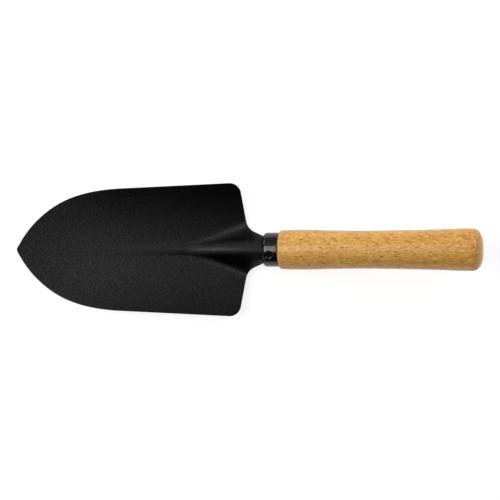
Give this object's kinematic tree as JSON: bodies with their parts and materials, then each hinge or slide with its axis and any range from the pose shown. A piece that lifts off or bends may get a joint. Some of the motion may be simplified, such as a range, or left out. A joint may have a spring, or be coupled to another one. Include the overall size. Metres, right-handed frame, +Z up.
{
  "type": "hand trowel",
  "caption": "Garden hand trowel: pointed dished steel blade with a half-tube neck, a short steel ferrule and a turned beech grip.",
  "frame": {"origin": "middle of the underside of the bounding box, on the ground the trowel lies on", "axes": "+X from the point of the blade to the butt of the handle, +Y across the blade, +Z up out of the scoop, away from the ground"},
  "size_m": [0.2808, 0.0803, 0.046],
  "materials": {
    "coated_steel": "satin powder coat",
    "enamelled_steel": "gloss",
    "lacquered_beech": "satin lacquer"
  },
  "bodies": {
    "root": {"blade": "coated_steel", "ferrule": "enamelled_steel", "handle": "lacquered_beech"}
  },
  "joints": []
}
